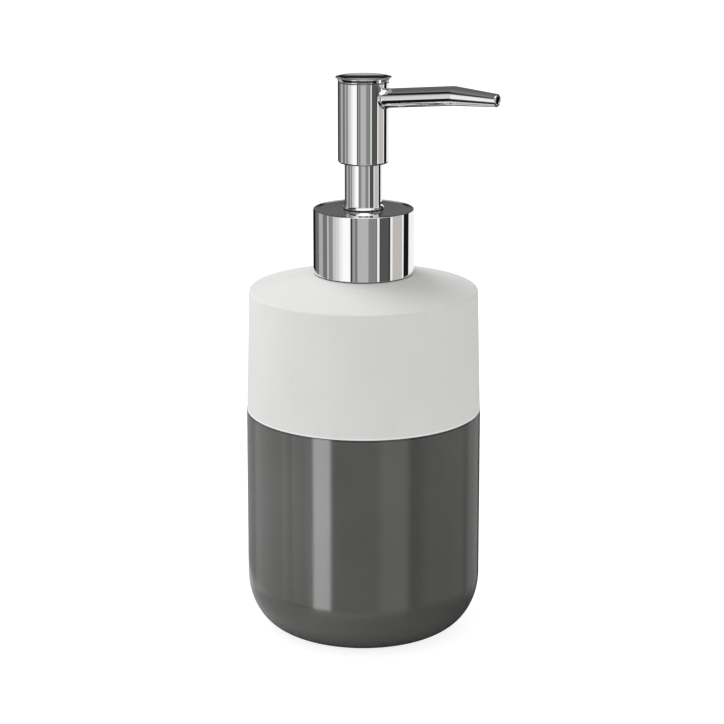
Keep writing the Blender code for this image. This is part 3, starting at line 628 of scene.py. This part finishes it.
def rounded(corners):
    """The outline through corners in mm, each (radius, height) or (radius, height, arc)."""
    outline = []
    for index, (radius, height, *arc) in enumerate(corners):
        corner = Vector((radius, height))
        if not arc:
            outline.append(corner)
            continue
        back = Vector(corners[index - 1][:2]) - corner
        ahead = Vector(corners[(index + 1) % len(corners)][:2]) - corner
        half = back.angle(ahead) / 2
        reach = min(arc[0] / math.tan(half), back.length / 2, ahead.length / 2)
        middle = corner + (back.normalized() + ahead.normalized()).normalized() * reach / math.cos(half)
        first = corner + back.normalized() * reach - middle
        last = corner + ahead.normalized() * reach - middle
        for step in range(ARC_STEPS + 1):
            outline.append(middle + first.slerp(last, step / ARC_STEPS).normalized() * first.length)
    return outline


def dress(name, work, finish, body, *replaced):
    """Turns a bmesh into a smooth piece that rides on a body and stands for CAD nodes."""
    bmesh.ops.remove_doubles(work, verts=work.verts, dist=SAME_PLACE)
    bmesh.ops.recalc_face_normals(work, faces=work.faces)
    mesh = bpy.data.meshes.new(name)
    work.to_mesh(mesh)
    work.free()
    mesh.materials.append(finishes[finish])
    mesh.shade_smooth()
    mesh.set_sharp_from_angle(angle=HARD_ANGLE)
    piece = bpy.data.objects.new(name, mesh)
    scene.collection.objects.link(piece)
    weighted = piece.modifiers.new("Even normals", "WEIGHTED_NORMAL")
    weighted.keep_sharp = True
    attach(piece, body)
    if replaced:
        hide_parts(*replaced)
    columns = zip(*(vertex.co for vertex in mesh.vertices))
    size = [round((max(column) - min(column)) / MM, 1) for column in columns]
    print(f"{name}: {len(mesh.polygons)} faces, {size} mm")
    return piece


def turned(outline):
    """A bmesh turned round the Z axis from an outline of (radius, height) in mm.

    The outline closes on itself, unless it starts on the axis.
    """
    work = bmesh.new()
    verts = [work.verts.new((radius * MM, 0, height * MM)) for radius, height in outline]
    edges = [work.edges.new(pair) for pair in zip(verts, verts[1:])]
    if outline[0][0] > 0:
        edges.append(work.edges.new((verts[-1], verts[0])))
    bmesh.ops.spin(work, geom=verts + edges, axis=(0, 0, 1), cent=(0, 0, 0), steps=TURN_STEPS,
                   angle=math.tau, use_merge=True)
    return work


def span(node):
    """Outer radius, foot and top of a CAD node, in mm."""
    low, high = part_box(node)
    return high.y / MM, low.z / MM, high.z / MM


# %% [markdown]
# ## The bottle
#
# The bottle is slip-cast: a straight wall that narrows a little towards the top, a soft edge, and a
# shallow cone up to the flat land under the collar. Where the glaze lies on it, it is set back by the
# coat, so that the glaze is a layer with an edge and not a painted line. Its inside and its bare foot
# are modelled as well, because the pump can be lifted out.

# %% Turn the bottle
COAT = 0.5  # the glaze's thickness
TAPER = 0.2  # how much narrower the glaze is at its upper edge than at its widest
FOOT_WIDTH = 12.3
FOOT_HEIGHT = 16.6
FOOT_STEPS = 28
GLAZE_STOP = math.radians(11)  # how far round from the lowest point of the foot the glaze ends
CAVITY_FOOT = (32.5, 5.5, 10.0)  # the cavity's lower and upper corners: radius, height and arc
CAVITY_HEAD = (31.04, 105.26, 3.0)
MOUTH_RADIUS = 12.3
MOUTH_DEPTH = 3.3
LAND_RADIUS = 15.0
SHOULDER_RADIUS = 35.32
SHOULDER_HEIGHT = 108.6
BARE_RING = 0.3  # from the end of the glaze to the start of the step round the bare disc
BARE_DISC = 1.0  # from the end of the glaze to the bare disc
glaze_radius, _, glaze_top = span("glaze_dip")
wall_radius, _, land_height = span("bottle_body")


def foot_curve(inset):
    """The rounded foot, moved inwards by inset, from the wall down to where the glaze ends."""
    middle = glaze_radius - FOOT_WIDTH
    curve = []
    for step in range(FOOT_STEPS + 1):
        angle = math.pi / 2 - (math.pi / 2 - GLAZE_STOP) * step / FOOT_STEPS
        curve.append((
            middle + (FOOT_WIDTH - inset) * math.sin(angle),
            FOOT_HEIGHT - (FOOT_HEIGHT - inset) * math.cos(angle),
        ))
    return curve


def make_bottle():
    inset = COAT + 2 * HAIR
    ledge = glaze_top + HAIR
    foot = foot_curve(inset)
    glaze_end = foot[-1][0]
    inside = [(0, CAVITY_FOOT[1]), CAVITY_FOOT, CAVITY_HEAD, (MOUTH_RADIUS, land_height - MOUTH_DEPTH, 0.4)]
    outside = [(MOUTH_RADIUS, land_height, 0.3), (LAND_RADIUS, land_height, 1.2),
               (SHOULDER_RADIUS, SHOULDER_HEIGHT, 0.8), (wall_radius, ledge)]
    outline = [
        *rounded(inside + outside), (glaze_radius - TAPER - inset, ledge), *foot[:-1],
        *rounded([(glaze_end - BARE_RING, inset), (glaze_end - BARE_DISC, 0, 0.5), (0, 0)]),
    ]
    dress("ceramic_bottle", turned(outline), "bare_ceramic", "bottle", "bottle_body")


make_bottle()

# %% [markdown]
# ## The coat of glaze
#
# The coat is a thin shell round the wall and the foot. Its upper edge stands a tenth of a millimetre
# proud and rounds over, so the border is a real edge. The fine lines along it are painted into the two
# finishes: a painted highlight on the ceramic above and painted shade on the glaze below. The coat stops
# just short of the floor, where the real foot is wiped clean so that it doesn't stick in the kiln.

# %% Turn the glaze
EDGE_HEIGHT = 0.22
EDGE_WIDTH = 0.12


def make_glaze():
    lip = glaze_radius - TAPER
    edge = []
    for step in range(ARC_STEPS + 1):
        angle = math.pi / 2 * step / ARC_STEPS
        edge.append((
            lip - EDGE_WIDTH + EDGE_WIDTH * math.sin(angle),
            glaze_top - EDGE_HEIGHT * (1 - math.cos(angle)),
        ))
    outline = [*edge, *foot_curve(0), *reversed(foot_curve(COAT)), (lip - COAT, glaze_top)]
    dress("glaze_coat", turned(outline), "grey_glaze", "bottle", "glaze_dip")


make_glaze()

# %% [markdown]
# ## The collar
#
# The collar is a chromed shell over the plastic screw cap. Seen from above, its flat top mirrors the
# dark ceiling behind. Its last two millimetres fall off by a little over a degree, which keeps the back
# edge darker than the rest, and the small radius between top and side picks up the light over the
# camera as a bright rim. A black ring under the shell is painted shade: a dark piece that draws the
# shadow line where the collar meets the shoulder.

# %% Turn the collar and its shade ring
COLLAR_WALL = 0.8
COLLAR_HOLE = 6.1
CROWN_WIDTH = 2.2  # how far from the rim the top begins to fall off
CROWN_DROP = 0.05  # by how much it has fallen at the rim
BEND_HALF, BEND_DROP = 0.08, 0.003  # the soft bend where it begins
NEAR_RIM, NEAR_RIM_RISE = 0.5, 0.015  # a point just inside the rim, a little above it
# The black ring under the collar is painted shade: a dark piece in the gap, where there is only shadow.
COLLAR_SHADE_RING = 0.24  # how far the black ring shows under the chrome
COLLAR_SHADE_OUTER = 0.14  # how far its sides are from the shell's
COLLAR_SHADE_INNER = 1.2


def make_collar():
    radius, foot, top = span("collar_shell")
    bore, plate = radius - COLLAR_WALL, top - COLLAR_WALL
    crown, rim = radius - CROWN_WIDTH, top - CROWN_DROP
    outline = rounded([
        (COLLAR_HOLE, top, 0.12), (crown - BEND_HALF, top), (crown + BEND_HALF, top - BEND_DROP),
        (radius - NEAR_RIM, rim + NEAR_RIM_RISE), (radius, rim, 0.42), (radius, foot, 0.08),
        (bore, foot, 0.1), (bore, plate), (COLLAR_HOLE, plate),
    ])
    dress("chrome_collar", turned(outline), "chrome", "collar", "collar_shell")
    outer, inner = radius - COLLAR_SHADE_OUTER, radius - COLLAR_SHADE_INNER
    ring_top, ring_foot = foot + 2 * HAIR, foot - COLLAR_SHADE_RING
    ring = rounded([(inner, ring_top), (outer, ring_top), (outer, ring_foot, 0.06), (inner, ring_foot)])
    # The painted shade ring under the collar.
    dress("collar_shade_ring", turned(ring), "seal_rubber", "collar")


make_collar()

# %% [markdown]
# ## The sleeve under the head
#
# This is the tube that the head slides down. Its foot flares out a little over the collar's hole. The
# flare faces upwards, so it is bright, and the black ring under it is painted shade: a dark piece that
# draws a sharp shadow line between sleeve and collar.

# %% Turn the sleeve and its shade ring
SLEEVE_BORE = 5.1
SLEEVE_STEP = 0.57  # how far the ring at its foot stands out from the tube
FLARE_HEIGHT = 1.6
FLARE_WIDTH = 0.47
FLARE_STEPS = 10
FLARE_END = 0.16  # the heights of the flare's end and of the rim under it
FLARE_RIM = 0.12
RIM_INSET = 0.08  # how far the rim stays inside the CAD's ring
# The black ring under the flare is painted shade: a dark piece that draws the shadow line between sleeve and
# collar.
SLEEVE_SHADE_HEIGHT = 0.28
SLEEVE_SHADE_GAP = 0.05  # how far the wiper lies above the collar's top
SLEEVE_SHADE_INSET = 0.16


def make_sleeve():
    ring, foot, top = span("guide_sleeve")
    radius, rim, outer = ring - SLEEVE_STEP, ring - RIM_INSET, ring - SLEEVE_SHADE_INSET
    ring_foot = span("collar_shell")[2] + SLEEVE_SHADE_GAP
    flare_foot = ring_foot + SLEEVE_SHADE_HEIGHT
    flare = []
    for step in range(FLARE_STEPS + 1):
        rise = 1 - step / FLARE_STEPS
        flare.append((radius + FLARE_WIDTH * (1 - rise) ** 3, flare_foot + FLARE_END + FLARE_HEIGHT * rise))
    outline = rounded([
        (SLEEVE_BORE, top), (radius, top, 0.15), *flare, (rim, flare_foot + FLARE_RIM, 0.04),
        (rim, flare_foot, 0.05), (radius, flare_foot), (radius, foot), (SLEEVE_BORE, foot),
    ])
    dress("chrome_sleeve", turned(outline), "chrome", "pump", "guide_sleeve")
    inner, ring_top = radius + 2 * HAIR, flare_foot - HAIR
    sleeve_shade = rounded([
        (inner, ring_top), (outer, ring_top, 0.04), (outer, ring_foot, 0.04), (inner, ring_foot),
    ])
    # The painted shade ring under the flare.
    dress("sleeve_shade_ring", turned(sleeve_shade), "seal_rubber", "pump")


make_sleeve()

# %% [markdown]
# ## The barrel of the head
#
# The drum that slides over the sleeve. It is rolled in at its foot, over a black ring that is painted
# shade: a dark piece that draws a thin shadow line under the chrome.

# %% Turn the barrel and its shade ring
BARREL_WALL = 0.6
SEAM = 1.32  # how far the seam between cap and barrel lies under the top of the cap
SEAM_WIDTH = 0.28
# The black ring under the barrel's foot is painted shade: a dark piece that stands for the shadow under the
# rolled edge.
BARREL_SHADE_HEIGHT = 0.26
BARREL_SHADE_BORE = 6.1
BARREL_SHADE_FOOT_INSET = 0.28
BARREL_SHADE_TOP_INSET = 0.20


def make_barrel():
    radius, foot, _ = span("head_barrel")
    top = span("head_cap")[2] - SEAM - SEAM_WIDTH
    bore = radius - BARREL_WALL
    shell_foot = foot + BARREL_SHADE_HEIGHT
    outline = rounded([
        (bore, top), (radius, top, 0.10), (radius, shell_foot, 0.40), (bore, shell_foot, 0.1),
    ])
    dress("chrome_barrel", turned(outline), "chrome", "head", "head_barrel")
    barrel_shade_top = shell_foot - HAIR
    barrel_shade = rounded([
        (BARREL_SHADE_BORE, foot, 0.1), (radius - BARREL_SHADE_FOOT_INSET, foot, 0.2),
        (radius - BARREL_SHADE_TOP_INSET, barrel_shade_top), (BARREL_SHADE_BORE, barrel_shade_top),
    ])
    # The painted shade ring under the barrel.
    dress("barrel_shade_ring", turned(barrel_shade), "seal_rubber", "head")


make_barrel()

# %% [markdown]
# ## The cap on the head
#
# The cap is gently dished where a finger presses, and the dish mirrors the sheet behind, the ceiling
# and the dark line between them. Round it runs a thin lip. Under the lip the cap tapers in to a seam
# above the barrel, and the taper looks down at the dark table. A black ring in the seam is painted
# shade: a dark piece that stands for the shadow in the gap.

# %% Turn the cap
DISH_RADIUS = 7.0
DISH_DEPTH = 0.05
DISH_STEPS = 14
DISH_RIM = 0.2  # a flat ring round the dish
LIP_THICKNESS = 0.28
UNDERCUT = 0.50  # how far the lip overhangs the taper
BAND_HEIGHT = 0.20  # the upright band that the taper ends in, over the seam
BAND_OUT = 0.04  # how far the band stands out over the barrel
GROOVE_DEPTH = 0.3
SPIGOT_RADIUS = 6.9
# The black ring in the seam is painted shade: a dark piece that stands for the shadow in the gap.
SEAM_SHADE_INNER = 0.28  # how far the ring's sides are inside the barrel's
SEAM_SHADE_OUTER = 0.04


def make_cap():
    radius, foot, top = span("head_cap")
    barrel = span("head_barrel")[0]
    band, groove = barrel + BAND_OUT, barrel - GROOVE_DEPTH
    seam_top, seam_foot = top - SEAM, top - SEAM - SEAM_WIDTH
    lip_foot = top - LIP_THICKNESS
    outline = [(DISH_RADIUS * step / DISH_STEPS, top - DISH_DEPTH * (1 - (step / DISH_STEPS) ** 2))
               for step in range(DISH_STEPS + 1)]
    outline += rounded([
        (DISH_RADIUS + DISH_RIM, top), (radius, top, 0.14), (radius, lip_foot, 0.12),
        (radius - UNDERCUT, lip_foot, 0.04), (band, seam_top + BAND_HEIGHT, 0.05), (band, seam_top, 0.03),
        (groove, seam_top), (groove, seam_foot), (SPIGOT_RADIUS, seam_foot), (SPIGOT_RADIUS, foot, 0.1),
        (0, foot),
    ])
    dress("chrome_cap", turned(outline), "chrome", "head", "head_cap")
    inner, outer = barrel - SEAM_SHADE_INNER, barrel - SEAM_SHADE_OUTER
    ring_top, ring_foot = seam_top - HAIR, seam_foot + HAIR
    ring = [(inner, ring_top), (outer, ring_top), (outer, ring_foot), (inner, ring_foot)]
    # The painted shade ring in the seam.
    dress("seam_shade_ring", turned(ring), "seal_rubber", "head")


make_cap()

# %% [markdown]
# ## The nozzle
#
# The nozzle leaves the barrel slightly upwards, bends and runs on almost level, tapering to its tip. It
# is a piece turned round a bent line: each point of its outline has a distance along that line and a
# radius. The outline runs along the outside, round the lip and back through the bore, so the hole at
# the tip is real.

# %% Sweep the nozzle
NOZZLE_RISE = math.radians(6.17)
NOZZLE_FALL = math.radians(0.92)
NOZZLE_ROOT_HEIGHT = 167.2793  # where its line, drawn back, meets the axis
NOZZLE_RUN = 31.44  # from the axis to the bend's corner, and on to the tip
NOZZLE_END = 14.86
BEND_RADIUS = 8.0
BEND = NOZZLE_RISE + NOZZLE_FALL
BEND_START = NOZZLE_RUN - BEND_RADIUS * math.tan(BEND / 2)
BEND_END = BEND_START + BEND_RADIUS * BEND
BEND_STEPS = 8
NOZZLE_LENGTH = BEND_END + NOZZLE_END - BEND_RADIUS * math.tan(BEND / 2)
NOZZLE_SIDES = 64
NOZZLE_ROOT = 6.9  # where it begins, from the axis
NOZZLE_RADIUS = 2.91
TIP_RADIUS = 1.91
TIP_LIP = 2  # the length on which the lip is rounded
NOZZLE_BORE = 1.15
FILLET = 0.45  # the radius of the brazed joint at the root
FILLET_START = 7.75
FILLET_STEPS = 6


def along_nozzle(distance):
    """The point on the nozzle's line at that distance from the pump's axis, and the line's slope there."""
    turn = min(max((distance - BEND_START) / BEND_RADIUS, 0), BEND)
    straight = min(distance, BEND_START)
    beyond = max(distance - BEND_END, 0)
    x = straight * math.cos(NOZZLE_RISE) + beyond * math.cos(NOZZLE_FALL)
    z = straight * math.sin(NOZZLE_RISE) - beyond * math.sin(NOZZLE_FALL)
    x += BEND_RADIUS * (math.sin(NOZZLE_RISE) - math.sin(NOZZLE_RISE - turn))
    z += BEND_RADIUS * (math.cos(NOZZLE_RISE - turn) - math.cos(NOZZLE_RISE))
    return Vector((x, 0, NOZZLE_ROOT_HEIGHT + z)), NOZZLE_RISE - turn


def add_ring(work, middle, across, up, radius, sides):
    """A ring of vertices round a middle, in the plane of two directions, in mm."""
    ring = []
    for side in range(sides):
        angle = math.tau * side / sides
        place = middle + (across * math.cos(angle) + up * math.sin(angle)) * radius
        ring.append(work.verts.new(place * MM))
    return ring


def join_rings(work, ring, after):
    for side in range(len(ring)):
        work.faces.new((ring[side - 1], ring[side], after[side], after[side - 1]))


def swept(outline):
    """A bmesh turned round the nozzle's line from an outline of (distance, radius) in mm."""
    work = bmesh.new()
    rings = []
    for distance, radius in outline:
        point, slope = along_nozzle(distance)
        up = Vector((-math.sin(slope), 0, math.cos(slope)))
        rings.append(add_ring(work, point, Vector((0, 1, 0)), up, radius, NOZZLE_SIDES))
    for ring, after in zip(rings, rings[1:] + rings[:1]):
        join_rings(work, ring, after)
    return work


def make_nozzle():
    taper = (NOZZLE_RADIUS - TIP_RADIUS) / (NOZZLE_LENGTH - BEND_END)
    lip_start = NOZZLE_LENGTH - TIP_LIP
    lip = rounded([
        (lip_start, TIP_RADIUS + TIP_LIP * taper), (NOZZLE_LENGTH, TIP_RADIUS, 0.37),
        (NOZZLE_LENGTH, NOZZLE_BORE, 0.34), (lip_start, NOZZLE_BORE),
    ])
    bend = [(BEND_START + (BEND_END - BEND_START) * step / BEND_STEPS, NOZZLE_RADIUS)
            for step in range(BEND_STEPS + 1)]
    fillet = []
    for step in range(FILLET_STEPS + 1):
        angle = math.pi / 2 * step / FILLET_STEPS
        fillet.append((
            FILLET_START + FILLET * (1 - math.cos(angle)),
            NOZZLE_RADIUS + FILLET * (1 - math.sin(angle)),
        ))
    bore = [(distance, NOZZLE_BORE) for distance in (BEND_END, BEND_START, NOZZLE_ROOT)]
    outline = [(NOZZLE_ROOT, NOZZLE_RADIUS + FILLET), *fillet, *bend, *lip[1:], *bore]
    dress("chrome_nozzle", swept(outline), "chrome", "head", "nozzle")


make_nozzle()

# %% [markdown]
# ## The return spring
#
# The spring is a helix of round wire. It gets a mesh of its own, so that nothing else shares it.

# %% Wind the spring
SPRING_TURNS = 8
SPRING_STEPS = 32
COIL_RADIUS = 3.9
WIRE_RADIUS = 0.45
WIRE_SIDES = 12


def make_spring():
    _, foot, top = span("return_spring")
    climb = top - foot - 2 * WIRE_RADIUS
    pitch_angle = math.atan(climb / (math.tau * COIL_RADIUS * SPRING_TURNS))
    work = bmesh.new()
    rings = []
    count = SPRING_TURNS * SPRING_STEPS
    for step in range(count + 1):
        turn = math.tau * step / SPRING_STEPS
        out = Vector((math.cos(turn), math.sin(turn), 0))
        around = Vector((-math.sin(turn), math.cos(turn), 0))
        up = Vector((0, 0, math.cos(pitch_angle))) - around * math.sin(pitch_angle)
        middle = out * COIL_RADIUS + Vector((0, 0, foot + WIRE_RADIUS + climb * step / count))
        rings.append(add_ring(work, middle, out, up, WIRE_RADIUS, WIRE_SIDES))
    for ring, after in zip(rings, rings[1:]):
        join_rings(work, ring, after)
    work.faces.new(rings[0])
    work.faces.new(rings[-1])
    spring = dress("steel_spring", work, "spring_steel", "pump", "return_spring")
    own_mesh(spring)


make_spring()

# %% [markdown]
# ## The pieces that keep their own shape
#
# What is left has the right shape already, so it only gets a finish and smooth shading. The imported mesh
# has its corners split, which would keep every facet flat, so a small geometry node group welds them
# and smooths all but the hard edges. It leaves the mesh itself as it is.

# %% Dress the inner pieces
WELD_DISTANCE = 1e-6
INNER_PIECES = {
    "neck_insert": "white_plastic", "neck_gasket": "seal_rubber", "screw_cap": "white_plastic",
    "lock_bush": "white_plastic", "pump_housing": "milky_plastic", "ball_cage": "white_plastic",
    "dip_tube": "milky_plastic", "check_ball": "ball_steel", "piston_rod": "white_plastic",
    "piston_seat": "white_plastic", "piston": "milky_plastic", "head_core": "white_plastic",
}


def build_smoother():
    """A geometry node group that welds a mesh and smooths it up to the hard angle."""
    tree = bpy.data.node_groups.new("weld_and_smooth", "GeometryNodeTree")
    tree.interface.new_socket("Geometry", in_out="INPUT", socket_type="NodeSocketGeometry")
    tree.interface.new_socket("Geometry", in_out="OUTPUT", socket_type="NodeSocketGeometry")
    start, end = tree.nodes.new("NodeGroupInput"), tree.nodes.new("NodeGroupOutput")
    weld = tree.nodes.new("GeometryNodeMergeByDistance")
    weld.inputs["Distance"].default_value = WELD_DISTANCE
    angle = tree.nodes.new("GeometryNodeInputMeshEdgeAngle")
    soft = tree.nodes.new("FunctionNodeCompare")
    soft.operation = "LESS_THAN"
    soft.inputs[1].default_value = HARD_ANGLE
    faces = tree.nodes.new("GeometryNodeSetShadeSmooth")
    edges = tree.nodes.new("GeometryNodeSetShadeSmooth")
    edges.domain = "EDGE"
    tree.links.new(start.outputs[0], weld.inputs["Geometry"])
    tree.links.new(weld.outputs[0], faces.inputs["Geometry"])
    tree.links.new(faces.outputs[0], edges.inputs["Geometry"])
    tree.links.new(angle.outputs["Unsigned Angle"], soft.inputs[0])
    tree.links.new(soft.outputs[0], edges.inputs["Shade Smooth"])
    tree.links.new(edges.outputs[0], end.inputs[0])
    return tree


smoother = build_smoother()
for node_name, finish_name in INNER_PIECES.items():
    node = nodes[node_name]
    for material_slot in node.material_slots:
        material_slot.material = finishes[finish_name]
    node.modifiers.new("Smooth", "NODES").node_group = smoother
print("Dressed", len(INNER_PIECES), "inner pieces.")
